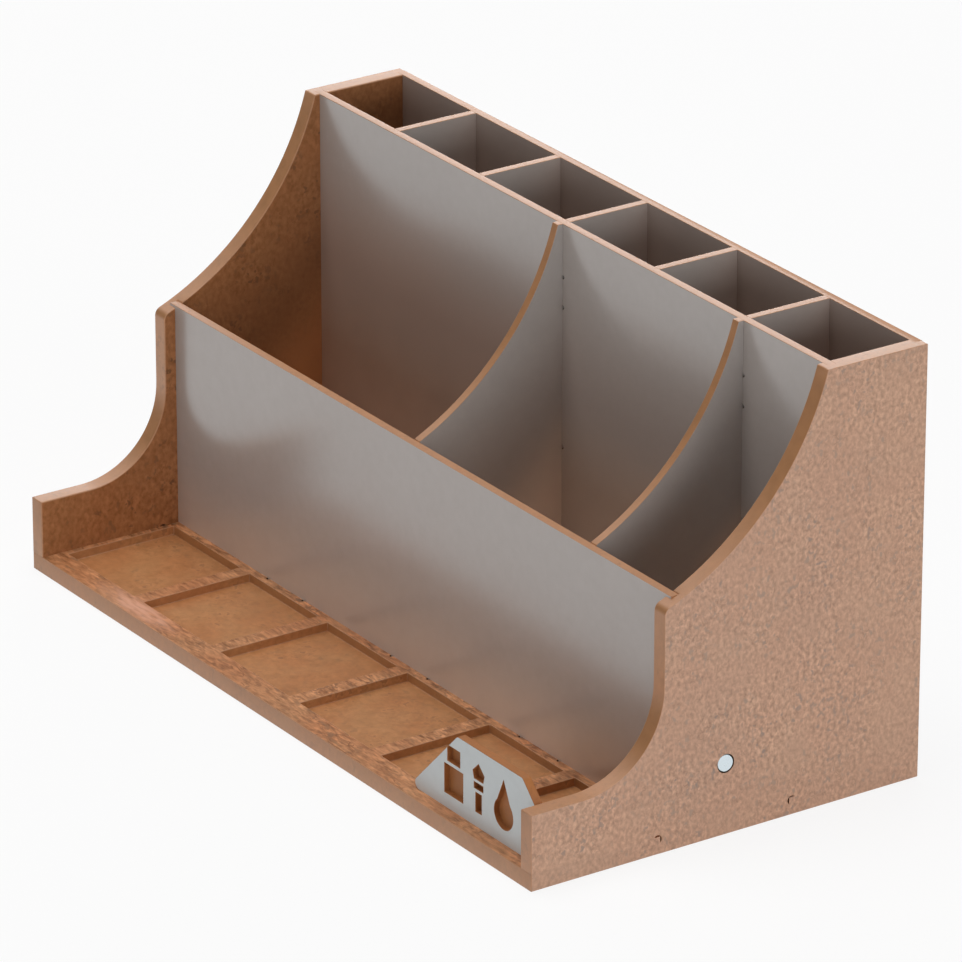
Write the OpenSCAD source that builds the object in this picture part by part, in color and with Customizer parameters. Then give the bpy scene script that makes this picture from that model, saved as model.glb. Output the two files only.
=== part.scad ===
// Hobby workstation organizer made of cut boards: a front tray with routed pockets, three open
// bins behind a low front panel, and a row of six tall cells along the back.
// Lengths are in millimetres. X runs from left to right, Y from front to back, Z up.
// The origin is on the resting plane, in the middle of the width and of the depth. Distances of
// pieces in the source count from the front edge, and from_front() moves them to the origin.

/* [Overall size] */
// Width from one side panel's outer face to the other's
body_w = 300; // [284:1:360]
// Depth from the tray's front edge to the back panel's rear face
body_d = 150; // [144:1:190]
// Height of the sides, the middle panel and the back panel
body_h = 150; // [136:1:165]

/* [Boards] */
// Thickness of the two side panels
side_t = 6; // [5:0.1:9]
// Thickness of the floor board
floor_t = 6; // [5:0.1:9]
// Thickness of the faced boards
panel_t = 3; // [2.5:0.1:4]
// Depth of the grooves in the side panels that hold the cross panels
groove_d = 3; // [1.5:0.1:4]

/* [Rooms] */
// Depth of the front tray, up to the front panel
tray_d = 54.3; // [53.6:0.1:58]
// Clear depth of the rear cells
cell_d = 30.7; // [24:0.1:33]
// Height of the front panel above the floor board
front_h = 80; // [60:0.5:84]
// Distance from one rear divider's middle to the next one's
cell_pitch = 50.3; // [44:0.1:52]

/* [Side profile] */
// Height of the sides along the tray
lip_h = 26.3; // [20:0.1:34]
// Radius of the scoop between the tray edge and the upright edge
scoop_r = 30.7; // [20:0.1:32]
// Distance of the upright edge in front of the front panel
upright_gap = 4.3; // [3:0.1:8]
// Radius of the big sweep up to the top, shared with the bin dividers
sweep_r = 100.8; // [92:0.1:140]
// How far below the front panel's top the sweep would meet the upright edge
shoulder_drop = 2.7; // [1:0.1:10]
// How far the flat top of the sides reaches in front of the middle panel
land_gap = 2; // [0.5:0.1:6]
// Rounding of the corner between the upright edge and the sweep
corner_r = 3; // [1.5:0.1:4]

/* [Floor joint] */
// Where each side's long tongue begins, from the front
tongue_y = 49; // [42:0.5:52]
// Length of the tongue that reaches down to the table
tongue_len = 50; // [36:0.5:56]

/* [Tabs and slots] */
// Radius of the cutter that leaves a relief in the inner corners of the floor joint
relief_r = 1.5; // [0.8:0.1:1.8]
// How far such a relief's middle stays back from both walls of its corner
relief_in = 0.95; // [0.5:0.05:1]
// Radius of the small round reliefs in the corners of the slots
dot_r = 0.65; // [0.5:0.05:0.8]
// How far a small relief's middle lies outside its slot
dot_out = 0.35; // [0.2:0.05:0.45]
// Length of the tabs under the front, middle and back panels
long_tab = 22.9; // [14:0.1:28]
// Distance between those tabs
long_tab_pitch = 75.5; // [60:0.5:80]
// Length of the short tabs of all dividers
short_tab = 11.7; // [8:0.1:14]
// Height of the upper bin tab's middle
bin_tab_z = 126; // [110:0.5:128]
// Top end of the lower bin tab
bin_tab_top = 71.7; // [60:0.1:80]
// Length of the lower bin tab
bin_tab_len = 35.7; // [20:0.1:44]
// Height of the upper rear tab's middle
rear_tab_z = 114; // [100:0.5:120]
// Height of the lower rear tab's middle
rear_tab_low_z = 42; // [24:0.5:60]

/* [Tray pockets] */
// Width of one pocket
pocket_w = 42; // [36:0.1:44]
// Length of one pocket from front to back
pocket_l = 42; // [34:0.1:43]
// Depth of the pockets
pocket_depth = 3; // [1.5:0.1:4]
// Distance from one pocket's middle to the next one's
pocket_pitch = 48.3; // [46:0.1:49]
// Distance of the pockets from the front edge
pocket_y = 9.1; // [8.6:0.1:10]

/* [Magnets] */
// Diameter of the disc magnets
magnet_dia = 6; // [4:0.5:8]
// Diameter of the bore that takes a magnet
magnet_bore = 6.5; // [4.6:0.1:9]
// Thickness of a magnet
magnet_t = 3; // [2:0.1:4]
// Chamfer around a magnet's faces
magnet_chamfer = 0.3; // [0.1:0.05:0.5]
// Distance of the magnets from the front
magnet_y = 74; // [70:0.5:80]
// Height of the magnets
magnet_z = 24.7; // [18:0.1:34]

/* [Badge plate] */
// Height of the plate above the floor board
badge_h = 27; // [24:0.5:32]
// Length of the plate along its foot, the part that is cut off by the side panel left out
badge_w = 70; // [64:0.5:80]
// Rounding of the plate's free corners
badge_r = 2; // [1:0.1:3]
// How far below its top the plate meets the side panel
badge_notch = 6.6; // [4:0.1:9]
// Distance of the plate's face from the front edge
badge_y = 5.2; // [2:0.1:5.4]
// Depth of the pictures cut into the face
badge_cut = 2; // [0.8:0.1:2.2]
// Height of the three pictures
icon_h = 17; // [12:0.5:18]
// Distance from one picture's middle to the next one's
icon_pitch = 14; // [12:0.5:15]
// Distance of the middle picture from the side panel
icon_x = 31; // [28:0.5:34]
// Height of the pictures' feet above the floor board
icon_z = 5; // [3:0.5:6]

/* [Hidden] */
// Overrun of every cut past the face that it opens
over = 1;
// Segments of the round shapes
fine = 144;
round_fn = 48;
half_w = body_w / 2;
in_x = half_w - side_t;
front_y = tray_d;
bin_y = front_y + panel_t;
back_y = body_d - panel_t;
mid_y = back_y - cell_d - panel_t;
front_top = floor_t + front_h;
upright_y = front_y - upright_gap;
// The sweep's circle passes through the shoulder and the front end of the flat top
shoulder_z = front_top - shoulder_drop;
land_y = mid_y - land_gap;
chord = [land_y - upright_y, body_h - shoulder_z];
chord_off = sqrt(pow(sweep_r, 2) - pow(norm(chord) / 2, 2));
sweep_y = (upright_y + land_y) / 2 - chord[1] / norm(chord) * chord_off;
sweep_z = (shoulder_z + body_h) / 2 + chord[0] / norm(chord) * chord_off;
bin_tab_mid = bin_tab_top - bin_tab_len / 2;
// How far a small relief's middle stays back from its slot's end, so that it meets the corner
dot_in = sqrt(pow(dot_r, 2) - pow(dot_out, 2));
tongue_mid = tongue_y + tongue_len / 2;
cell_mid = (mid_y + panel_t + back_y) / 2;
bin_mid = (bin_y + mid_y) / 2;
// Rear dividers counted in pitches from the middle
divider_shares = [-2, -1, 0, 1, 2];
// Tabs of the long panels counted in tab pitches from the middle
tab_shares = [-1, 0, 1];
// Pockets counted in pocket pitches from the middle
pocket_shares = [-2.5, -1.5, -0.5, 0.5, 1.5, 2.5];
// Middle of the corner rounding, which laps into the sweep a little so that the arcs cross
corner_lap = 0.02;
corner_y = upright_y + corner_r;
corner_reach = sweep_r + corner_r - corner_lap;
corner_z = sweep_z - sqrt(pow(corner_reach, 2) - pow(corner_y - sweep_y, 2));
// Where the rounding runs into the sweep
touch_y = sweep_y + (corner_y - sweep_y) * sweep_r / corner_reach;
// Middles of the badge plate's three round corners: left foot, left top and right top
badge_rounds = [
  [-badge_w + badge_r / tan(22.5), badge_r],
  [-badge_w + badge_h + badge_r * tan(22.5), badge_h - badge_r],
  [-badge_notch - badge_r * tan(22.5), badge_h - badge_r]
];
badge_slant = badge_r * cos(45);
// Pictures on the badge plate in shares of their height: width, foot and height of each bar,
// then the points of each tip
pot_shares = [[0.62, 0, 0.6], [0.42, 0.68, 0.32]];
brush_shares = [[0.2, 0, 0.4], [0.3, 0.47, 0.13]];
bristle_shares = [[-0.15, 0.67], [0.15, 0.67], [0.19, 0.82], [0, 1], [-0.19, 0.82]];
drop_share = 0.31;
drop_tip_shares = [[-0.25, 0.45], [0.25, 0.45], [0, 1]];
board = [0.75, 0.56, 0.4];
face_grey = [0.66, 0.66, 0.65];
nickel = [0.86, 0.88, 0.9];

// A slot for a tab of a thin board, drawn flat around its middle and along X. A small round
// relief beside each end of its long walls passes through the corner there.
module slot2(l) {
  square([l, panel_t], center = true);
  for (sx = [-1, 1], sy = [-1, 1])
    translate([sx * (l / 2 - dot_in), sy * (panel_t / 2 + dot_out)])
      circle(r = dot_r, $fn = round_fn);
}

// Moves a piece drawn from the front edge to its place around the origin
module from_front() {
  translate([0, -body_d / 2, 0]) children();
}

// Stands a flat drawing of Y and Z up, with its thickness along X from x0
module upright(x0, t) {
  translate([x0, 0, 0]) rotate([90, 0, 90]) linear_extrude(t) children();
}

// Lays a flat drawing of X and Z up, with its thickness along Y from y0
module across(y0, t) {
  translate([0, y0 + t, 0]) rotate([90, 0, 0]) linear_extrude(t) children();
}

// The sweep's circle in Y and Z
module sweep2() {
  translate([sweep_y, sweep_z]) circle(r = sweep_r, $fn = fine);
}

// Outline of a side panel in Y and Z
module side2() {
  difference() {
    union() {
      translate([upright_y, 0]) square([body_d - upright_y, corner_z]);
      translate([corner_y, corner_z]) circle(r = corner_r, $fn = round_fn);
      difference() {
        translate([touch_y, corner_z - over])
          square([body_d - touch_y, body_h - corner_z + over]);
        sweep2();
      }
      difference() {
        square([upright_y + over, lip_h + scoop_r]);
        translate([upright_y - scoop_r, lip_h + scoop_r]) circle(r = scoop_r, $fn = fine);
        translate([-over, lip_h]) square([upright_y - scoop_r + over, scoop_r + over]);
      }
    }
    // Notches for the floor board's ears, with a relief in each inner corner
    translate([-over, -over]) square([tongue_y + over, floor_t + over]);
    translate([tongue_y - relief_in, floor_t - relief_in]) circle(r = relief_r, $fn = round_fn);
    translate([tongue_y + tongue_len, -over])
      square([body_d - tongue_y - tongue_len + over, floor_t + over]);
    translate([tongue_y + tongue_len + relief_in, floor_t - relief_in])
      circle(r = relief_r, $fn = round_fn);
  }
}

// The right side panel; the left one is its mirror image
module side_body() {
  difference() {
    upright(in_x, side_t) side2();
    // Grooves for the front, middle and back panels
    translate([in_x - over, front_y, floor_t])
      cube([groove_d + over, panel_t, body_h]);
    translate([in_x - over, mid_y, floor_t])
      cube([groove_d + over, panel_t, body_h]);
    translate([in_x - over, back_y, floor_t])
      cube([groove_d + over, panel_t + over, body_h]);
    // Blind bore for the magnet
    translate([half_w - magnet_t, magnet_y, magnet_z]) rotate([0, 90, 0])
      cylinder(d = magnet_bore, h = magnet_t + over, $fn = round_fn);
  }
}

module right_side_panel() {
  color(board) from_front() side_body();
}

module left_side_panel() {
  color(board) from_front() mirror([1, 0, 0]) side_body();
}

// Outline of the floor board in X and Y, with all slots that run through it
module floor2() {
  difference() {
    translate([-half_w, 0]) square([body_w, body_d]);
    // Notches for the sides' tongues
    for (s = [-1, 1]) {
      translate([s * (in_x + (side_t + over) / 2), tongue_mid])
        square([side_t + over, tongue_len], center = true);
      for (e = [-1, 1])
        translate([s * (in_x + relief_in), tongue_mid + e * (tongue_len / 2 - relief_in)])
          circle(r = relief_r, $fn = round_fn);
    }
    for (k = tab_shares) translate([k * long_tab_pitch, 0]) {
      translate([0, front_y + panel_t / 2]) slot2(long_tab);
      translate([0, mid_y + panel_t / 2]) slot2(long_tab);
      translate([0, back_y + (panel_t + over) / 2])
        square([long_tab, panel_t + over], center = true);
    }
    for (k = [divider_shares[2], divider_shares[4]])
      translate([k * cell_pitch, bin_mid]) rotate(90) slot2(short_tab);
    for (k = divider_shares)
      translate([k * cell_pitch, cell_mid]) rotate(90) slot2(short_tab);
  }
}

module floor_board() {
  color(board) from_front() difference() {
    linear_extrude(floor_t) floor2();
    for (k = pocket_shares)
      translate([k * pocket_pitch - pocket_w / 2, pocket_y, floor_t - pocket_depth])
        cube([pocket_w, pocket_l, pocket_depth + over]);
  }
}

// A panel's outline in X and Z: its ends sit in the grooves, its three tabs in the floor board
module panel2(top) {
  translate([-in_x - groove_d, floor_t]) square([2 * (in_x + groove_d), top - floor_t]);
  for (k = tab_shares)
    translate([k * long_tab_pitch - long_tab / 2, 0]) square([long_tab, floor_t + over]);
}

module front_panel() {
  color(face_grey) from_front() across(front_y, panel_t) panel2(front_top);
}

module middle_panel() {
  color(face_grey) from_front() across(mid_y, panel_t) difference() {
    panel2(body_h);
    for (k = [divider_shares[2], divider_shares[4]]) translate([k * cell_pitch, 0]) {
      translate([0, bin_tab_z]) rotate(90) slot2(short_tab);
      translate([0, bin_tab_mid]) rotate(90) slot2(bin_tab_len);
    }
  }
}

module back_panel() {
  color(face_grey) from_front() across(back_y, panel_t) difference() {
    panel2(body_h);
    for (k = divider_shares, z = [rear_tab_z, rear_tab_low_z])
      translate([k * cell_pitch, z]) rotate(90) slot2(short_tab);
  }
}

// A bin divider's outline in Y and Z
module bin_divider2() {
  difference() {
    union() {
      translate([bin_y, floor_t]) square([mid_y - bin_y, body_h - floor_t]);
      translate([mid_y - over, bin_tab_z - short_tab / 2]) square([panel_t + over, short_tab]);
      translate([mid_y - over, bin_tab_top - bin_tab_len])
        square([panel_t + over, bin_tab_len]);
      translate([bin_mid - short_tab / 2, 0]) square([short_tab, floor_t + over]);
    }
    sweep2();
  }
}

module bin_divider(k) {
  color(face_grey) from_front()
    upright(k * cell_pitch - panel_t / 2, panel_t) bin_divider2();
}

module left_bin_divider() {
  bin_divider(divider_shares[2]);
}

module right_bin_divider() {
  bin_divider(divider_shares[4]);
}

// A rear divider between the middle and back panels
module rear_divider(k) {
  color(face_grey) from_front() upright(k * cell_pitch - panel_t / 2, panel_t) {
    translate([mid_y + panel_t, floor_t]) square([cell_d, body_h - floor_t]);
    for (z = [rear_tab_z, rear_tab_low_z])
      translate([back_y - over, z - short_tab / 2]) square([panel_t + over, short_tab]);
    translate([cell_mid - short_tab / 2, 0]) square([short_tab, floor_t + over]);
  }
}

module rear_divider_1() {
  rear_divider(divider_shares[0]);
}

module rear_divider_2() {
  rear_divider(divider_shares[1]);
}

module rear_divider_3() {
  rear_divider(divider_shares[2]);
}

module rear_divider_4() {
  rear_divider(divider_shares[3]);
}

module rear_divider_5() {
  rear_divider(divider_shares[4]);
}

// Outline of the badge plate in X and Z from its right foot: a low trapezoid with rounded free
// corners, cut off upright where it meets the side panel
module badge2() {
  for (c = badge_rounds) translate(c) circle(r = badge_r, $fn = round_fn);
  polygon([
    [badge_rounds[0][0], 0], [0, 0], [0, badge_h - badge_notch],
    badge_rounds[2] + [badge_slant, badge_slant], [badge_rounds[2][0], badge_h],
    [badge_rounds[1][0], badge_h], badge_rounds[1] + [-badge_slant, badge_slant],
    badge_rounds[0] + [-badge_slant, badge_slant]
  ]);
}

// Three plain pictures, each a drawing of X and Z from the middle of its foot
module pot2() {
  for (k = pot_shares)
    translate([-k[0] * icon_h / 2, k[1] * icon_h]) square([k[0] * icon_h, k[2] * icon_h]);
}

module brush2() {
  for (k = brush_shares)
    translate([-k[0] * icon_h / 2, k[1] * icon_h]) square([k[0] * icon_h, k[2] * icon_h]);
  polygon(bristle_shares * icon_h);
}

module drop2() {
  translate([0, drop_share * icon_h]) circle(r = drop_share * icon_h, $fn = round_fn);
  polygon(drop_tip_shares * icon_h);
}

module badge_plate() {
  color(face_grey) from_front() translate([in_x, 0, floor_t]) difference() {
    across(badge_y, panel_t) badge2();
    across(badge_y - over, badge_cut + over) {
      translate([-icon_x - icon_pitch, icon_z]) pot2();
      translate([-icon_x, icon_z]) brush2();
      translate([-icon_x + icon_pitch, icon_z]) drop2();
    }
  }
}

// A disc magnet on its side, its outer face at the right
module magnet_disc() {
  rotate([0, 90, 0]) {
    cylinder(d1 = magnet_dia - 2 * magnet_chamfer, d2 = magnet_dia, h = magnet_chamfer,
      $fn = round_fn);
    translate([0, 0, magnet_chamfer])
      cylinder(d = magnet_dia, h = magnet_t - 2 * magnet_chamfer, $fn = round_fn);
    translate([0, 0, magnet_t - magnet_chamfer])
      cylinder(d1 = magnet_dia, d2 = magnet_dia - 2 * magnet_chamfer, h = magnet_chamfer,
        $fn = round_fn);
  }
}

module right_magnet() {
  color(nickel) from_front()
    translate([half_w - magnet_t, magnet_y, magnet_z]) magnet_disc();
}

module left_magnet() {
  color(nickel) from_front() mirror([1, 0, 0])
    translate([half_w - magnet_t, magnet_y, magnet_z]) magnet_disc();
}

left_side_panel();
right_side_panel();
floor_board();
front_panel();
middle_panel();
back_panel();
left_bin_divider();
right_bin_divider();
rear_divider_1();
rear_divider_2();
rear_divider_3();
rear_divider_4();
rear_divider_5();
badge_plate();
left_magnet();
right_magnet();
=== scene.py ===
# %% [markdown]
# # A hobby workstation organizer made of cut boards
#
# The object is a desk module: a front tray with shallow pockets, open bins behind a low front
# panel and a row of tall cells along the back. Two 6 mm side panels and a 6 mm floor are raw
# fibreboard. The thin cross panels and dividers carry a satin grey facing and show their brown
# core wherever they are cut.
#
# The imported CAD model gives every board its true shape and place. This lesson dresses it: each
# board gets softened arrises, a facing or fibre finish, and light that shows both.

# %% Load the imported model
import math

import bmesh
import bpy
from mathutils import Matrix, Vector
from mathutils.bvhtree import BVHTree


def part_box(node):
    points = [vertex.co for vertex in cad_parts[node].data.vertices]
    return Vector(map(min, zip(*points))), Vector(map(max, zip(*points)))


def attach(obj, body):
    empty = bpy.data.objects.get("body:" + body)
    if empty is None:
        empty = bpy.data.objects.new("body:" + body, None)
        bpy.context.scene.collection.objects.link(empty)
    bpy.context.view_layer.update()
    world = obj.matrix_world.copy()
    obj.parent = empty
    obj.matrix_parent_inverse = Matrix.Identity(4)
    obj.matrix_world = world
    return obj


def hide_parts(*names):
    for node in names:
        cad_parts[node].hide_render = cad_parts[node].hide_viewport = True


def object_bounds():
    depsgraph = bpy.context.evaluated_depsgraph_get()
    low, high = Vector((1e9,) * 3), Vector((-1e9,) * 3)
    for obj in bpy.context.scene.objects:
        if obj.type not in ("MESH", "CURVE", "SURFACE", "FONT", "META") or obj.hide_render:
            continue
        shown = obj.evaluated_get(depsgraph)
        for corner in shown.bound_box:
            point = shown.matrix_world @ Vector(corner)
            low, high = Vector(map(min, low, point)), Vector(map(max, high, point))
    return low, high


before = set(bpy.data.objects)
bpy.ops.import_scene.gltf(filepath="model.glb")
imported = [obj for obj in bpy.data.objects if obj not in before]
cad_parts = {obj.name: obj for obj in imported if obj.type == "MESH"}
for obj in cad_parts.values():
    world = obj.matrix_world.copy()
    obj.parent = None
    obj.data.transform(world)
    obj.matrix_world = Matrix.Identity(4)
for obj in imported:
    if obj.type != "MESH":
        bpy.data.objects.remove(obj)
cad_low, cad_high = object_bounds()
print("nodes:", len(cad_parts))
print("box in mm:", [round(1000 * (h - l), 2) for l, h in zip(cad_low, cad_high)])

# %% [markdown]
# ## Camera
#
# The picture is a long-lens view from the right and above. A camera can be turned by hand until
# the edges meet, but here it was solved from the corners of the boards, whose real sizes are
# known. So its place and its three directions, right, up and back, are written as they came
# out. A lens near 293 mm on a 36 mm sensor keeps the boards' edges almost parallel.

# %% Make the camera
CAMERA_RIGHT = Vector((0.558927, 0.829217, 0.000259))
CAMERA_UP = Vector((-0.327731, 0.220618, 0.918651))
CAMERA_BACK = Vector((0.761704, -0.513544, 0.395069))
CAMERA_PLACE = Vector((1.950981, -1.308079, 1.077776))
SENSOR_WIDTH = 36.0
LENS_LENGTH = 292.684

camera = bpy.data.objects.new("camera", bpy.data.cameras.new("camera"))
camera.data.sensor_fit = "HORIZONTAL"
camera.data.sensor_width = SENSOR_WIDTH
camera.data.lens = LENS_LENGTH
turn = Matrix((CAMERA_RIGHT, CAMERA_UP, CAMERA_BACK)).transposed()
camera.matrix_world = Matrix.Translation(CAMERA_PLACE) @ turn.to_4x4()
bpy.context.scene.collection.objects.link(camera)
bpy.context.scene.camera = camera
bpy.context.scene.view_settings.view_transform = "Standard"
print("camera distance in m:", round(CAMERA_PLACE.length, 3))

# %% [markdown]
# ## Small helpers for node trees
#
# Each material is a node tree, and a tree built in code takes many calls of the same few kinds.
# Short helpers keep the cells readable. The first adds any node and fills its sockets. The
# others each add one kind that is used often, take numbers or sockets, and give back the
# socket that carries the result.


# %% Node helpers
def put(tree, kind, settings=None, sockets=None):
    """Add a node, set its properties, and fill or link its input sockets."""
    node = tree.nodes.new(kind)
    for name, value in (settings or {}).items():
        setattr(node, name, value)
    for name, value in (sockets or {}).items():
        if isinstance(value, bpy.types.NodeSocket):
            tree.links.new(value, node.inputs[name])
        else:
            node.inputs[name].default_value = value
    return node


def object_place(tree):
    """Where a point lies on the object. It is the same from every side."""
    return put(tree, "ShaderNodeTexCoord").outputs["Object"]


def calculate(tree, operation, *values):
    """Result of a sum or a comparison of numbers."""
    return put(tree, "ShaderNodeMath", {"operation": operation}, dict(enumerate(values))).outputs[0]


def times(tree, value, factor):
    return calculate(tree, "MULTIPLY", value, factor)


def calculate_vector(tree, operation, first, second):
    """Result of a sum on places or colours, part by part."""
    return put(tree, "ShaderNodeVectorMath", {"operation": operation},
               {0: first, 1: second}).outputs[0]


def noise(tree, place, scale, detail=2.0, roughness=0.5, distortion=0.0):
    """Soft random spots, about 0.5 on average. A larger scale makes them smaller."""
    return put(tree, "ShaderNodeTexNoise", {},
               {"Vector": place, "Scale": scale, "Detail": detail, "Roughness": roughness,
                "Distortion": distortion}).outputs[0]


def ramp(tree, value, start, end, low=0.0, high=1.0, kind="LINEAR", clamp=True):
    """Value moved from the range start to end into the range low to high."""
    return put(tree, "ShaderNodeMapRange", {"interpolation_type": kind, "clamp": clamp},
               {"Value": value, "From Min": start, "From Max": end,
                "To Min": low, "To Max": high}).outputs[0]


def soft_ramp(tree, value, start, end, low=0.0, high=1.0):
    """The same with soft ends."""
    return ramp(tree, value, start, end, low, high, kind="SMOOTHSTEP")


print("node helpers:", [f.__name__ for f in (put, object_place, calculate, times,
                                             calculate_vector, noise, ramp, soft_ramp)])

# %% [markdown]
# ## Fibres
#
# Fibreboard is pressed from wood fibres, so its face is no even brown. Seen close it is a fine
# mottle of pale and dark tufts about a millimetre long, coarse in some places and nearly smooth
# in others. Short dark fibres and grey specks lie among them in clusters, blotches a finger
# wide are redder than others, and slow clouds of tone pass over it all. Here and there lies a
# dark fleck of bark.
#
# A picture wrapped round the boards could show this, but it would repeat and break at the
# edges. Noise in Object coordinates runs on without a seam and stays on the board from every
# side. More than one finish needs these marks, so they are one node group.
#
# The dark fibres are a trick: where a noise passes its middle value it draws thin curved lines,
# and a second noise keeps only short pieces of them.


# %% Node group: pressed fibres
def new_group(name, inputs, outputs):
    """An empty node group. inputs maps names to socket types, and each output is a number."""
    tree = bpy.data.node_groups.new(name, "ShaderNodeTree")
    for socket, kind in inputs.items():
        tree.interface.new_socket(socket, in_out="INPUT", socket_type=kind)
    for socket in outputs:
        tree.interface.new_socket(socket, in_out="OUTPUT", socket_type="NodeSocketFloat")
    return tree


def make_fibres_group():
    tree = new_group("pressed_fibres", {"Tuft Size": "NodeSocketVector"},
                     ("Mottle", "Fibre", "Speck", "Fleck", "Hue", "Cloud"))
    tuft_size = put(tree, "NodeGroupInput").outputs["Tuft Size"]
    place = object_place(tree)
    stretched = calculate_vector(tree, "MULTIPLY", place, tuft_size)

    def grain(vector, scale, detail=2.0, distortion=0.0):
        return noise(tree, vector, scale, detail, roughness=0.55, distortion=distortion)

    def between(value, start, end, low=0.0, high=1.0):
        return soft_ramp(tree, value, start, end, low, high)

    coarse = between(grain(place, 70.0, 1.0), 0.35, 0.65, 0.75, 1.2)
    mottle = put(tree, "ShaderNodeMix", {"data_type": "FLOAT", "clamp_factor": False},
                 {0: coarse, 2: 0.5, 3: grain(stretched, 1.0, 2.0, 0.3)}).outputs[0]
    off_middle = calculate(tree, "SUBTRACT", grain(stretched, 0.5, 1.0, 0.6), 0.5)
    line = between(calculate(tree, "ABSOLUTE", off_middle), 0.008, 0.035, 1.0, 0.0)
    short = times(tree, line, between(grain(stretched, 0.35), 0.52, 0.62))
    cluster = between(grain(place, 90.0), 0.42, 0.62)
    speck = between(grain(stretched, 0.8, 1.0), 0.57, 0.70)
    fleck = between(grain(place, 420.0, 1.0), 0.61, 0.67)
    rare = between(grain(place, 70.0), 0.5, 0.6)
    put(tree, "NodeGroupOutput", {},
        {"Mottle": mottle,
         "Fibre": times(tree, short, cluster),
         "Speck": times(tree, speck, cluster),
         "Fleck": times(tree, fleck, rare),
         "Hue": between(grain(place, 50.0, 4.0), 0.33, 0.67),
         "Cloud": between(grain(place, 34.0), 0.25, 0.75)})
    return tree


FIBRES = make_fibres_group()
print("fibre group gives:", [s.name for s in FIBRES.interface.items_tree if s.in_out == "OUTPUT"])

# %% [markdown]
# ## Worn arrises
#
# Where a board's edges are handled they turn a little paler and smoother. A shader can search
# for edges on its own, but slowly, and not in every renderer. The boards below know their
# bevels when they are made, so they store them in an attribute named arris. The group only
# reads it and breaks it up with noise.


# %% Node group: worn arris
def make_arris_group():
    tree = new_group("worn_arris", {"Amount": "NodeSocketFloat"}, ("Wear",))
    amount = put(tree, "NodeGroupInput").outputs["Amount"]
    arris = put(tree, "ShaderNodeAttribute", {"attribute_name": "arris"}).outputs["Fac"]
    broken = ramp(tree, noise(tree, object_place(tree), 220.0, 3.0), 0.3, 0.6, 0.4)
    put(tree, "NodeGroupOutput", {}, {"Wear": times(tree, times(tree, arris, broken), amount)})
    return tree


WORN_ARRIS = make_arris_group()
print("arris group nodes:", len(WORN_ARRIS.nodes))

# %% [markdown]
# ## Painted light low in the box
#
# This group paints light and shade into the colours low in the box. A pale painted fill light lies
# at the foot of the front panel and deep in the bins and cells, and fades out upward and forward.
# So its amount follows a plane that leans up toward the back, broken a little by noise. It is
# stronger toward the right. The back panel's outer face has none.
#
# The group's second output is the same painted fill light without what lies in front of the front
# panel. The third is painted shade that reaches higher, in the narrow cells and in the left bin,
# the widest one: on the raw boards it darkens them, on the grey facing it is a painted brown
# reflection of the raw boards. The middle bin has less of it and the right bin none.
#
# This light could be painted on by hand, but a board has too few corners to hold a soft border. A
# formula of the place needs none, and it takes the panels' places from the CAD model.


# %% Where one space ends and the next begins
def centre(node):
    """Middle of a node's box."""
    low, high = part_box(node)
    return (low + high) / 2


# A border runs inside a board, just under the face that it sets apart, or down a divider's middle.
FRONT_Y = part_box("front_panel")[0][1] + 0.0001
CELLS_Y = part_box("middle_panel")[1][1] - 0.001
BACK_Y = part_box("back_panel")[1][1] - 0.0005
LEFT_X = centre("left_bin_divider").x
RIGHT_X = centre("right_bin_divider").x
print("borders in mm:", [round(1000 * b, 1) for b in (FRONT_Y, CELLS_Y, BACK_Y, LEFT_X, RIGHT_X)])


# %% Node group: painted light low in the box
PAINTED_FILL_FADES = (0.020, 0.056)
PAINTED_SHADE_FADES = (0.050, 0.100)
MIDDLE_BIN_SHARE = 0.4


def make_painted_light_group():
    tree = new_group("box_painted_light", {}, ("Painted Fill", "Inside", "Painted Shade"))
    place = object_place(tree)
    x, y, z = put(tree, "ShaderNodeSeparateXYZ", {}, {"Vector": place}).outputs
    height = calculate(tree, "SUBTRACT", z, y)
    before_back = calculate(tree, "LESS_THAN", y, BACK_Y)
    behind_front = calculate(tree, "GREATER_THAN", y, FRONT_Y)

    # Painted fill light: a pale colour low in the box that fades with height, stronger to the
    # right.
    low = soft_ramp(tree, height, *PAINTED_FILL_FADES, 1.0, 0.0)
    broken = ramp(tree, noise(tree, place, 55.0, 3.0), 0.35, 0.6, 0.85)
    stronger_right = ramp(tree, x, 0.0, 0.135, 0.8, 1.75)
    uneven = times(tree, low, times(tree, stronger_right, broken))
    painted_fill = times(tree, uneven, before_back)

    # Painted shade that reaches higher: full in the cells and the left bin, less in the middle bin.
    high = soft_ramp(tree, height, *PAINTED_SHADE_FADES, 1.0, 0.0)
    cells = calculate(tree, "GREATER_THAN", y, CELLS_Y)
    left_bin = calculate(tree, "LESS_THAN", x, LEFT_X)
    left_two = calculate(tree, "LESS_THAN", x, RIGHT_X)
    share = calculate(tree, "MAXIMUM", left_bin, times(tree, left_two, MIDDLE_BIN_SHARE))
    painted_light = calculate(tree, "MAXIMUM", cells, times(tree, share, behind_front))
    painted_shade = times(tree, times(tree, high, painted_light), before_back)

    put(tree, "NodeGroupOutput", {},
        {"Painted Fill": painted_fill, "Inside": times(tree, painted_fill, behind_front), "Painted Shade": painted_shade})
    return tree


BOX_PAINTED_LIGHT = make_painted_light_group()
print("dust group nodes:", len(BOX_PAINTED_LIGHT.nodes))

# %% [markdown]
# ## Raw board and its cut edges
#
# One function makes every brown surface from a middle tone and the strength of its mottle. The
# mottle mixes a dark and a pale tone. A surface that shines also adds white haze over its own
# colour, so there the dark tone is taken more saturated and the pale one less, and the mottle
# stays a change of brightness. Hue noise pulls the mix to red or to buff, more on the tray than
# on the sides. Dark fibres, grey specks and flecks of bark lie over it, and a low bump keeps
# the surface dry.


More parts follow.
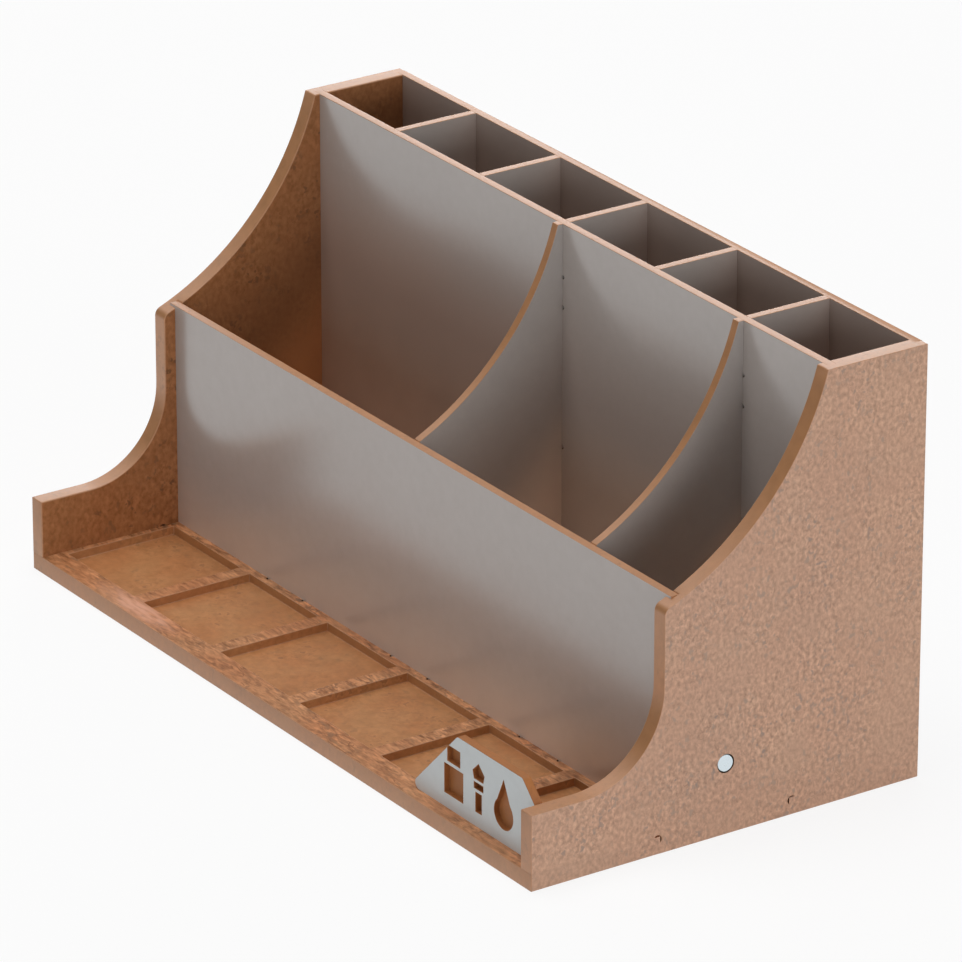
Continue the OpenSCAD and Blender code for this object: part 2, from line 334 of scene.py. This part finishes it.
# %% Colour of clean board
TUFT_SWING = 0.28
HUE_PULL = (0.01, 0.045, 0.07)
SPECK_TINT = (0.52, 0.64, 0.80)
FLECK_TINT = (0.36, 0.42, 0.55)


def mixed(tree, amount, low, high):
    """Colour between low and high. All three may be sockets or values."""
    return put(tree, "ShaderNodeMix", {"data_type": "RGBA"},
               {"Factor": amount, 6: low, 7: high}).outputs[2]


def scaled(tree, colour, factor):
    return put(tree, "ShaderNodeVectorMath", {"operation": "SCALE"},
               {0: colour, "Scale": factor}).outputs[0]


def tinted(tone, tint):
    """A tone with its red, green and blue each multiplied, as a shader takes it."""
    return [part * share for part, share in zip(tone, tint)] + [1]


def fibre_colour(tree, fibres, tone, mottle, haze, blotch):
    """Tone with its tufts, hues, clouds and marks. mottle is how strong tufts and marks are,
    haze how much white the gloss adds, and blotch how far the hue swings."""
    swing = TUFT_SWING * mottle
    dark = [max(0.004, c * (1 - swing) - haze * swing) for c in tone] + [1]
    pale = [c * (1 + swing) + haze * swing for c in tone] + [1]
    redder = [1 - pull * blotch for pull in HUE_PULL] + [1]
    paler = [1 + pull * blotch for pull in HUE_PULL] + [1]
    tufts = mixed(tree, ramp(tree, fibres["Mottle"], 0.28, 0.72), dark, pale)
    hued = calculate_vector(tree, "MULTIPLY", tufts, mixed(tree, fibres["Hue"], redder, paler))
    colour = scaled(tree, hued, ramp(tree, fibres["Cloud"], 0.0, 1.0, 0.96, 1.04))
    for mark, strength, most, stain in (("Fibre", 0.85, 0.9, dark),
                                        ("Speck", 0.7, 0.8, tinted(tone, SPECK_TINT)),
                                        ("Fleck", 0.8, 0.8, tinted(tone, FLECK_TINT))):
        amount = times(tree, fibres[mark], min(most, strength * mottle))
        colour = mixed(tree, amount, colour, stain)
    return colour


print("a fleck on a brown tone:", [round(c, 3) for c in tinted((0.4, 0.18, 0.08), FLECK_TINT)])

# %% [markdown]
# A place on the tray's front rim carries a painted highlight, a pale sheen near the front arris. It
# could be painted into the mesh, but the rim is one flat face. So it is a soft ellipse in the
# material, torn by streaks that run along the rim.


# %% Mask of the painted highlight
HIGHLIGHT_PLACE = (-0.090, -0.070, 0.006)
HIGHLIGHT_SIZE = (0.030, 0.0065, 0.01)
STREAK_SIZE = (120, 600, 600)


def painted_highlight_mask(tree):
    """1 in the middle of the painted highlight and 0 beyond it."""
    place = object_place(tree)
    away = calculate_vector(tree, "SUBTRACT", place, HIGHLIGHT_PLACE)
    ellipse = calculate_vector(tree, "DIVIDE", away, HIGHLIGHT_SIZE)
    far = put(tree, "ShaderNodeVectorMath", {"operation": "LENGTH"}, {0: ellipse})
    soft = soft_ramp(tree, far.outputs["Value"], 0.2, 1.0, 1.0, 0.0)
    streaks = noise(tree, calculate_vector(tree, "MULTIPLY", place, STREAK_SIZE), 1.0)
    return times(tree, soft, ramp(tree, streaks, 0.35, 0.6, 0.35))


print("rubbed place in mm, long and wide:", [2000 * s for s in HIGHLIGHT_SIZE[:2]])

# %% [markdown]
# The cuts that face forward and tilt up, as the hollow sweeps do, get painted shade: a darker,
# duller tone than the straight edges, by how far they lean. The boards store that amount in an
# attribute. It darkens the tone and takes away the thin coat that stands for the burnish of a
# straight cut.
#
# The faces inside the box have a darker, redder tone than the outer faces, which is painted shade.
# Low down they take a painted fill light over it: brown on the left side, and pale on the right
# side and on the floor, where most of it lies. Higher up in the cells and the left bin they take
# more painted shade.


# %% Raw board material
# Besides wear, these tints paint light and shade: shade on leaning cuts, shade and fill light
# inside the box, and a highlight on the rim.
WEAR_AMOUNT = 0.25
PAINTED_SHADE_AMOUNT = 0.6
PAINTED_FILL_AMOUNT = 0.8
LEAN_SHADE_TINT = (0.57, 0.57, 0.50)
WEAR_TINT = (1.25, 1.25, 1.25)
PAINTED_SHADE_TINT = (0.70, 0.72, 0.78)
PAINTED_HIGHLIGHT_COLOUR = [0.67, 0.335, 0.215, 1]
BOARD_ROUGHNESS = (0.46, 0.56)
COAT_ROUGHNESS = 0.45
COAT_IOR = 1.8
BUMP_HEIGHT = 0.00004
BUMP_STRENGTH = 0.4


def new_material(name):
    """A material with only its Principled shader and its output."""
    material = bpy.data.materials.new(name)
    material.use_nodes = True
    return material, material.node_tree, material.node_tree.nodes["Principled BSDF"]


def board_material(name, tone, mottle, haze, ior, tufts=(620, 620, 510), burnish=0.0, blotch=0.9,
                   painted_light=False, painted_fill=None):
    """tufts counts them in a metre along x, y and z. burnish is the weight of the coat. The flag
    after blotch adds a painted highlight on the tray's rim, and the last argument is the colour of
    a painted fill light low in the box, where one lies."""
    material, tree, shader = new_material(name)
    fibres = put(tree, "ShaderNodeGroup", {"node_tree": FIBRES}, {"Tuft Size": tufts}).outputs
    worn = put(tree, "ShaderNodeGroup", {"node_tree": WORN_ARRIS},
               {"Amount": WEAR_AMOUNT}).outputs[0]
    lean_shade = put(tree, "ShaderNodeAttribute", {"attribute_name": "lean_shade"}).outputs["Fac"]
    colour = fibre_colour(tree, fibres, tone, mottle, haze, blotch)
    # Painted shade on the cuts that face forward and tilt up.
    colour = mixed(tree, lean_shade, colour, tinted(tone, LEAN_SHADE_TINT))
    colour = mixed(tree, worn, colour, tinted(tone, WEAR_TINT))
    # A pale painted highlight on the tray's front rim.
    if painted_light:
        colour = mixed(tree, painted_highlight_mask(tree), colour, PAINTED_HIGHLIGHT_COLOUR)
    # Painted shade higher up in the cells and left bins, then a painted fill light low in the box.
    if painted_fill:
        layers = put(tree, "ShaderNodeGroup", {"node_tree": BOX_PAINTED_LIGHT}).outputs
        colour = mixed(tree, times(tree, layers["Painted Shade"], PAINTED_SHADE_AMOUNT), colour,
                       tinted(tone, PAINTED_SHADE_TINT))
        colour = mixed(tree, times(tree, layers["Inside"], PAINTED_FILL_AMOUNT), colour, painted_fill + [1])
    bump = put(tree, "ShaderNodeBump", {},
               {"Strength": BUMP_STRENGTH * min(mottle, 1.0), "Distance": BUMP_HEIGHT,
                "Height": fibres["Mottle"]}).outputs[0]
    shader.inputs["IOR"].default_value = ior
    tree.links.new(colour, shader.inputs["Base Color"])
    tree.links.new(ramp(tree, fibres["Mottle"], 0.3, 0.7, *BOARD_ROUGHNESS),
                   shader.inputs["Roughness"])
    tree.links.new(bump, shader.inputs["Normal"])
    if burnish:
        shader.inputs["Coat Roughness"].default_value = COAT_ROUGHNESS
        shader.inputs["Coat IOR"].default_value = COAT_IOR
        tree.links.new(ramp(tree, lean_shade, 0.0, 1.0, burnish, 0.0), shader.inputs["Coat Weight"])
    return material


# %% Mix the browns
OUTER_FACE = board_material("outer_board_face", [0.378, 0.181, 0.085], 1.13, 0.18, 2.1,
                            (740, 740, 610))
# The inner faces' tone is darker and redder than the outer face's, which is painted shade. Their
# last colour is a painted fill light.
SHADED_INNER_FACE = board_material("shaded_inner_board_face", [0.318, 0.126, 0.044], 1.0, 0.03, 1.4,
                            painted_fill=[0.68, 0.28, 0.105])
SHADED_INNER_FACE_PALE_FILL = board_material("shaded_inner_face_pale_fill", [0.318, 0.126, 0.044], 1.0, 0.03, 1.4,
                                  painted_fill=[0.84, 0.65, 0.51])
# The tray's top takes a pale painted fill light where it lies in the bins, and a painted highlight
# on its front rim.
TRAY_RIM = board_material("tray_rim", [0.412, 0.174, 0.067], 2.2, 0.05, 1.5, (240, 760, 600),
                          blotch=2.5, painted_light=True, painted_fill=[0.82, 0.62, 0.48])
ROUTED_FACE = board_material("routed_face", [0.415, 0.180, 0.066], 0.65, 0.03, 1.5,
                             (420, 420, 500), blotch=2.2)
CUT_EDGE = board_material("cut_board_edge", [0.398, 0.184, 0.080], 0.35, 0.05, 1.3, burnish=0.62)
BADGE_EDGE = board_material("badge_edge", [0.335, 0.125, 0.036], 0.35, 0.03, 1.4)
# Nearly black: painted shade for the walls of slots and notches and for the magnet's bore.
SHADED_SLOT_WALL = board_material("painted_shade_slot_wall", [0.090, 0.045, 0.022], 0.35, 0.0, 1.3)
BROWNS = (OUTER_FACE, SHADED_INNER_FACE, SHADED_INNER_FACE_PALE_FILL, TRAY_RIM, ROUTED_FACE, CUT_EDGE, BADGE_EDGE,
          SHADED_SLOT_WALL)
print("nodes in each brown:", [len(m.node_tree.nodes) for m in BROWNS])

# %% [markdown]
# ## Satin grey facing
#
# The thin boards are faced with a satin grey sheet. Its own grey is warm and rather dark, and
# above it lies a soft mirror: the upper half picks up the white room, the foot picks up the
# brown boards. A second, clear layer could give that mirror. A high index of refraction gives
# it without one, and a fairly low roughness keeps its pictures soft. A faint cloudiness in
# both colour and roughness keeps the sheet from looking printed. The dividers take paler greys,
# which are painted light for their places deep in the bins and cells. Low down the sheet takes a
# pale painted fill light, most on the bin dividers, and a painted brown reflection of the raw
# boards that reaches higher in the cells and the left bin.


# %% Facing material
PAINTED_REFLECTION_TINT = (1.0, 0.80, 0.70)
PAINTED_FILL_COLOUR = [0.84, 0.61, 0.46, 1]
SATIN = 0.22
SATIN_IOR = 2.03


def facing_material(name, colour, roughness, ior, painted_fill=0.0, painted_shade=0.0):
    """The last two arguments give the most of the painted fill light and of the painted brown
    reflection.
    """
    material, tree, shader = new_material(name)
    place = object_place(tree)
    rough = ramp(tree, noise(tree, place, 30.0, 3.0), 0.3, 0.7,
                 roughness - 0.02, roughness + 0.02, clamp=False)
    tone = ramp(tree, noise(tree, place, 260.0), 0.3, 0.7, 0.98, 1.02, clamp=False)
    surface = scaled(tree, colour, tone)
    # A painted brown reflection of the raw boards, then a pale painted fill light low in the box.
    if painted_fill:
        layers = put(tree, "ShaderNodeGroup", {"node_tree": BOX_PAINTED_LIGHT}).outputs
        surface = mixed(tree, times(tree, layers["Painted Shade"], painted_shade), surface,
                        tinted(colour, PAINTED_REFLECTION_TINT))
        surface = mixed(tree, times(tree, layers["Painted Fill"], painted_fill), surface, PAINTED_FILL_COLOUR)
    shader.inputs["IOR"].default_value = ior
    tree.links.new(surface, shader.inputs["Base Color"])
    tree.links.new(rough, shader.inputs["Roughness"])
    return material


FACING = facing_material("satin_grey_facing", [0.350, 0.307, 0.281], SATIN, SATIN_IOR,
                         painted_fill=0.42, painted_shade=1.0)
# The dividers' paler greys are painted light: lit copies of the same sheet for their places deep in
# the bins and cells.
LIT_DIVIDER_FACING = facing_material("lit_divider_facing", [0.390, 0.358, 0.337], SATIN, SATIN_IOR,
                                 painted_fill=0.8, painted_shade=1.0)
LIT_CELL_FACING = facing_material("lit_cell_facing", [0.480, 0.430, 0.400], SATIN, SATIN_IOR,
                              painted_fill=0.5, painted_shade=0.8)
BADGE_FACING = facing_material("badge_facing", [0.54, 0.57, 0.575], 0.4, 1.5)
FACINGS = (FACING, LIT_DIVIDER_FACING, LIT_CELL_FACING, BADGE_FACING)
print("nodes in each facing:", [len(m.node_tree.nodes) for m in FACINGS])

# %% [markdown]
# ## Nickel
#
# The disc magnets are nickel plated. Bright metal could carry stains or a brushed grain, but a
# small new disc has neither. It needs no colour pattern, only fine scratches in its roughness.


# %% Nickel material
def nickel_material():
    material, tree, shader = new_material("nickel_plating")
    scuffs = noise(tree, object_place(tree), 900.0, 4.0)
    shader.inputs["Base Color"].default_value = [0.66, 0.74, 0.78, 1]
    shader.inputs["Metallic"].default_value = 1.0
    tree.links.new(ramp(tree, scuffs, 0.3, 0.7, 0.16, 0.3), shader.inputs["Roughness"])
    return material


NICKEL = nickel_material()
print("nickel:", NICKEL.name)

# %% [markdown]
# ## From a CAD node to a finished board
#
# A CAD node comes as loose triangles with knife-sharp edges. A real board's arrises are
# broken by a pass of sandpaper, and that thin line of light is what makes it look solid. A
# Bevel modifier could round them by edge weights. The bevel operator takes the list of edges
# itself, which is simpler where some edges stay sharp.
#
# So each board is a merged copy of its node: doubles are welded, flat triangles are dissolved
# into whole faces, and chosen sharp edges get a narrow bevel. The copy stands for the node,
# which stays in the frame for the physics.


# %% Copy and weld a node
WELD_REACH = 0.000002
FLAT_ANGLE = math.radians(0.4)


def welded(node):
    """A bmesh of the CAD node with its triangles joined into flat faces."""
    bm = bmesh.new()
    bm.from_mesh(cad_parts[node].data)
    bmesh.ops.remove_doubles(bm, verts=bm.verts, dist=WELD_REACH)
    bmesh.ops.dissolve_limit(bm, angle_limit=FLAT_ANGLE, verts=bm.verts, edges=bm.edges)
    bm.normal_update()
    return bm


trial = welded("front_panel")
print("front panel, triangles and then faces:", len(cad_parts["front_panel"].data.polygons),
      len(trial.faces))

# %% [markdown]
# Where two boards are glued together their arrises stay sharp and the joint closes. So each
# board looks for its neighbours: a tree of all other boards' faces answers how far away the
# nearest one is, and an edge that lies on a neighbour along its whole length gets no bevel.


# %% Find the free arrises
SHARP_ANGLE = math.radians(50)
TOUCH_REACH = 0.00015
ALONG_EDGE = (0.04, 0.35, 0.65, 0.96)


def neighbours(node):
    """A search tree over the faces of every other node."""
    bm = bmesh.new()
    for name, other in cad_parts.items():
        if name != node:
            bm.from_mesh(other.data)
    tree = BVHTree.FromBMesh(bm)
    bm.free()
    return tree


def free_arrises(bm, others):
    """Edges whose faces meet at a sharp angle and that lie on no other board."""
    found = []
    for edge in bm.edges:
        if len(edge.link_faces) != 2 or edge.calc_face_angle(0.0) < SHARP_ANGLE:
            continue
        a, b = (v.co for v in edge.verts)
        if not all(others.find_nearest(a.lerp(b, t), TOUCH_REACH)[0] for t in ALONG_EDGE):
            found.append(edge)
    return found


print("front panel, edges and free arrises:", len(trial.edges),
      len(free_arrises(trial, neighbours("front_panel"))))
trial.free()

# %% [markdown]
# A finished board also carries three marks. Each face has a material, so that cuts and broad
# sides differ. The attribute arris is 1 on the bevels. A second attribute holds painted shade for
# the cuts, from the way each cut leans. All three could be painted by hand. Code takes them from
# the bevels and from each face's place and direction instead, so they fit any size of board.
#
# No sandpaper reaches into a slot, so the rims of the slots stay sharp.

# %% Bevel a board and paint shade on its leaning cuts
SHADE_STARTS, SHADE_FULL, SHADE_FADES, SHADE_ENDS = 2.0, 20.0, 38.0, 75.0
CUT = 1


def bevel_arrises(bm, edges, offset):
    """Round the edges and mark their new faces as cut arrises."""
    result = bmesh.ops.bevel(bm, geom=edges, offset=offset, offset_type="OFFSET",
                             affect="EDGES", segments=2, profile=0.5, material=-1,
                             clamp_overlap=False, loop_slide=True)
    layer = bm.verts.layers.float["arris"]
    for f in result["faces"]:
        f.material_index = CUT
        for v in f.verts:
            v[layer] = 1.0


def lean_shading(normal):
    """How much painted shade a cut takes, from the degrees that it leans back."""
    if normal.y > -0.05 or abs(normal.x) > 0.5:
        return 0.0
    lean = math.degrees(math.atan2(normal.z, -normal.y))
    return max(0.0, min(1.0, (lean - SHADE_STARTS) / (SHADE_FULL - SHADE_STARTS),
                        (SHADE_ENDS - lean) / (SHADE_ENDS - SHADE_FADES)))


def shade_leaning_cuts(bm):
    """Store at each corner the average painted shade of the cuts around it."""
    layer = bm.verts.layers.float.new("lean_shade")
    bm.normal_update()
    for v in bm.verts:
        cuts = [f for f in v.link_faces if f.material_index == CUT]
        v[layer] = sum(lean_shading(f.normal) for f in cuts) / len(cuts) if cuts else 0.0


print("browned at 0, 10, 30 and 60 degrees:",
      [round(lean_shading(Vector((0, -math.cos(a), math.sin(a)))), 2)
       for a in map(math.radians, (0, 10, 30, 60))])


# %% Finish a board
def shade(bm, sharp):
    """Smooth faces with a crease wherever two of them meet at the angle sharp or more."""
    for f in bm.faces:
        f.smooth = True
    for edge in bm.edges:
        edge.smooth = len(edge.link_faces) == 2 and edge.calc_face_angle(0.0) < sharp


def add_object(name, bm, materials):
    """Turn a bmesh into an object of the scene, with its place in its mesh."""
    mesh = bpy.data.meshes.new(name)
    bm.to_mesh(mesh)
    bm.free()
    for material in materials:
        mesh.materials.append(material)
    added = bpy.data.objects.new(name, mesh)
    bpy.context.scene.collection.objects.link(added)
    print(name, "faces:", len(mesh.polygons))
    return added


def finish_board(node, thin, arrises, materials, painter):
    """Bevelled copy of a board. thin names the axis of its thickness. arrises lists pairs of a
    bevel and a test for the edges that get it. painter gives a face's place in materials."""
    bm = welded(node)
    axis = "xyz".index(thin)
    low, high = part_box(node)
    for f in bm.faces:
        f.material_index = painter(f, axis, low, high)
    others = neighbours(node)
    bm.verts.layers.float.new("arris")
    for offset, chosen in arrises:
        edges = [e for e in free_arrises(bm, others)
                 if chosen(e) and all(materials[f.material_index] != SHADED_SLOT_WALL
                                      for f in e.link_faces)]
        bevel_arrises(bm, edges, offset)
    shade_leaning_cuts(bm)
    shade(bm, SHARP_ANGLE)
    board = add_object(node + "_board", bm, materials)
    shading = board.modifiers.new("even shading", "WEIGHTED_NORMAL")
    shading.keep_sharp = True
    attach(board, "root")
    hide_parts(node)


# %% [markdown]
# ## Side panels and floor board
#
# The raw boards are 6 mm thick. The inner arrises of the sides are rubbed rounder than the outer
# ones, and catch a thin line of light along the sweep. Hardly any sandpaper reaches into the
# notches for the floor's ears, so their arrises are as fine as the outer ones.
#
# A board could be cut into one object for each finish. Here it stays whole, and a painter
# function tells each face's finish from its direction and its place.

# %% Tell the raw boards' faces apart
CLOSE = 0.0001
ALONG = 0.99
END_X = cad_high[0] - 5 * CLOSE
BORE_REACH = 0.004
POCKET_SHARE = 0.6
MAGNET = centre("right_magnet")


def within(place, axis, low, high):
    """True where place lies inside the outline of the box that is seen along axis."""
    return all(low[k] + 2 * CLOSE < place[k] < high[k] - 2 * CLOSE for k in range(3) if k != axis)


def side_painter(f, axis, low, high):
    """Outer face 0, cut 1, inner face 2, wall of the magnet's bore 3."""
    place = f.calc_center_median()
    if abs(f.normal[axis]) < ALONG:
        return 3 if math.hypot(place.y - MAGNET.y, place.z - MAGNET.z) < BORE_REACH else 1
    inner, outer = sorted((abs(low[axis]), abs(high[axis])))
    if abs(abs(place[axis]) - outer) < CLOSE:
        return 0
    return 2 if abs(abs(place[axis]) - inner) < CLOSE else 1


def floor_painter(f, axis, low, high):
    """Underside and ends of the ears 0, rim 1, top 2, pockets 3, slots 4."""
    place = f.calc_center_median()
    if f.normal[axis] < -ALONG or (abs(f.normal.x) > ALONG and abs(place.x) > END_X):
        return 0
    if f.normal[axis] > ALONG:
        return 2 if place[axis] > high[axis] - CLOSE else 3
    if place[axis] > low[axis] + POCKET_SHARE * (high[axis] - low[axis]):
        return 3
    return 4 if within(place, axis, low, high) else 1


print("middle of the magnet in mm:", [round(1000 * c, 1) for c in MAGNET])

# %% Make the raw boards
FINE, FLOOR_BEVEL, RUBBED = 0.00015, 0.0002, 0.0004
NOTCH_FOOT, NOTCH_TOP = 0.001, 0.0095


def any_edge(edge):
    return True


def in_notch(edge):
    """True for an edge in the side panels' notches, which hold the floor's ears."""
    return NOTCH_FOOT < max(v.co.z for v in edge.verts) < NOTCH_TOP


def fine_arris(edge):
    """True for an edge in a notch or on the outer face of a side panel."""
    return in_notch(edge) or min(abs(v.co.x) for v in edge.verts) > END_X


def rubbed_arris(edge):
    return not in_notch(edge)


for node, inner in (("left_side_panel", SHADED_INNER_FACE), ("right_side_panel", SHADED_INNER_FACE_PALE_FILL)):
    finish_board(node, "x", [(FINE, fine_arris), (RUBBED, rubbed_arris)],
                 (OUTER_FACE, CUT_EDGE, inner, SHADED_SLOT_WALL), side_painter)
finish_board("floor_board", "z", [(FLOOR_BEVEL, any_edge)],
             (OUTER_FACE, CUT_EDGE, TRAY_RIM, ROUTED_FACE, SHADED_SLOT_WALL), floor_painter)

# %% [markdown]
# ## Cross panels and dividers
#
# The thin boards show their facing on both broad sides and their core on every cut edge. A
# facing could be a thin sheet of its own on each side. It is far thinner than the bevels, so a
# second material on the same faces looks the same. The walls of the slots and the small round
# reliefs beside them are painted nearly black, as painted shade for these deep, narrow cuts.


# %% Make the faced boards
def faced_painter(f, axis, low, high):
    """Both broad sides 0, every cut and recess 1."""
    middle = f.calc_center_median()[axis]
    broad = min(abs(middle - low[axis]), abs(middle - high[axis])) < CLOSE
    return 0 if broad and abs(f.normal[axis]) > ALONG else 1


def slotted_painter(f, axis, low, high):
    """As above, and 2 for the walls of the slots."""
    kind = faced_painter(f, axis, low, high)
    return 2 if kind == 1 and within(f.calc_center_median(), axis, low, high) else kind


THIN_ARRIS = [(FINE, any_edge)]
for node in ("front_panel", "middle_panel", "back_panel"):
    finish_board(node, "y", THIN_ARRIS, (FACING, CUT_EDGE, SHADED_SLOT_WALL),
                 slotted_painter)
for node in ("left_bin_divider", "right_bin_divider"):
    finish_board(node, "x", THIN_ARRIS, (LIT_DIVIDER_FACING, CUT_EDGE), faced_painter)
for node in [f"rear_divider_{k}" for k in range(1, 6)]:
    finish_board(node, "x", THIN_ARRIS, (LIT_CELL_FACING, CUT_EDGE), faced_painter)
finish_board("badge_plate", "y", THIN_ARRIS, (BADGE_FACING, BADGE_EDGE),
             faced_painter)

# %% [markdown]
# ## Magnets
#
# A disc magnet could be a new cylinder with a bevel, but the CAD node already has its chamfers.
# So its copy only gets smooth shading with sharp rims.


# %% Make the magnets
RIM_ANGLE = math.radians(25)


def finish_magnet(node):
    bm = welded(node)
    shade(bm, RIM_ANGLE)
    disc = add_object(node + "_disc", bm, [NICKEL])
    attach(disc, "root")
    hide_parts(node)


for node in ("left_magnet", "right_magnet"):
    finish_magnet(node)

# %% [markdown]
# ## Floor and room
#
# The object stands on a pale floor in a white room. Strong lamps could bleach a grey floor, but
# they would bleach the object too. So white comes from the floor's and the room's own colour as
# the camera and the reflections see it, and a share of plain diffuse keeps the soft shadow
# under the object.


# %% Floor
FLOOR_REACH = 8.0
FLOOR_WHITE = 0.85


def seen_directly(tree):
    """1 for rays from the camera, from reflections and through glass, else 0."""
    path = put(tree, "ShaderNodeLightPath").outputs
    either = calculate(tree, "MAXIMUM", path["Is Camera Ray"], path["Is Glossy Ray"])
    return calculate(tree, "MAXIMUM", either, path["Is Transmission Ray"])


def make_floor():
    material = bpy.data.materials.new("pale_floor")
    material.use_nodes = True
    tree = material.node_tree
    tree.nodes.clear()
    plain = put(tree, "ShaderNodeBsdfDiffuse", {}, {"Color": [0.9, 0.9, 0.9, 1]})
    white = put(tree, "ShaderNodeEmission", {}, {"Color": [1, 1, 1, 1], "Strength": 1.0})
    both = put(tree, "ShaderNodeMixShader", {},
               {0: times(tree, seen_directly(tree), FLOOR_WHITE), 1: plain.outputs[0],
                2: white.outputs[0]})
    put(tree, "ShaderNodeOutputMaterial", {}, {"Surface": both.outputs[0]})
    bm = bmesh.new()
    bmesh.ops.create_grid(bm, x_segments=4, y_segments=4, size=FLOOR_REACH)
    floor = add_object("floor", bm, [material])
    return floor


print("floor size in m:", make_floor().dimensions[:2])

# %% [markdown]
# ## Light
#
# A dim white room fills in everything softly. A large lamp overhead, a little to the left, lights
# the tray and the top edges. A low lamp in front reaches down to the foot of the panels, a low
# one on the right lights the right side, and a high one on the left touches the sweeps. A low
# lamp behind on the left puts the sheen on the top edges. The pale floor throws the rest up.
# One lamp and a brighter room would be simpler, but the boards would look flat.


# %% Room and lamps
ROOM_STRENGTH = 0.09
LAMP_AIM = Vector((0, 0, 0.07))
LAMPS = (
    ("overhead_lamp", (-0.12, -0.12, 2.2), 1.6, 34.0),
    ("front_lamp", (0.0, -2.18, 0.38), 1.2, 10.0),
    ("right_lamp", (2.18, 0.0, 0.17), 1.2, 27.5),
    ("left_lamp", (-1.69, -0.4, 1.48), 1.2, 3.7),
    ("rear_lamp", (-1.61, 1.45, 0.42), 1.2, 17.5),
)


def make_room(strength):
    world = bpy.data.worlds.new("room")
    world.use_nodes = True
    tree = world.node_tree
    tree.nodes.clear()
    level = ramp(tree, seen_directly(tree), 0.0, 1.0, strength, 1.0)
    light = put(tree, "ShaderNodeBackground", {}, {"Color": [1, 1, 1, 1], "Strength": level})
    put(tree, "ShaderNodeOutputWorld", {}, {"Surface": light.outputs[0]})
    bpy.context.scene.world = world


def make_lamp(name, place, size, power):
    """A square lamp that faces the object and that the camera doesn't see."""
    lamp = bpy.data.objects.new(name, bpy.data.lights.new(name, "AREA"))
    lamp.data.shape = "SQUARE"
    lamp.data.size = size
    lamp.data.energy = power
    lamp.location = place
    lamp.rotation_euler = (LAMP_AIM - Vector(place)).to_track_quat("-Z", "Y").to_euler()
    lamp.visible_camera = False
    bpy.context.scene.collection.objects.link(lamp)
    print(name, "W:", power)


make_room(ROOM_STRENGTH)
for lamp in LAMPS:
    make_lamp(*lamp)
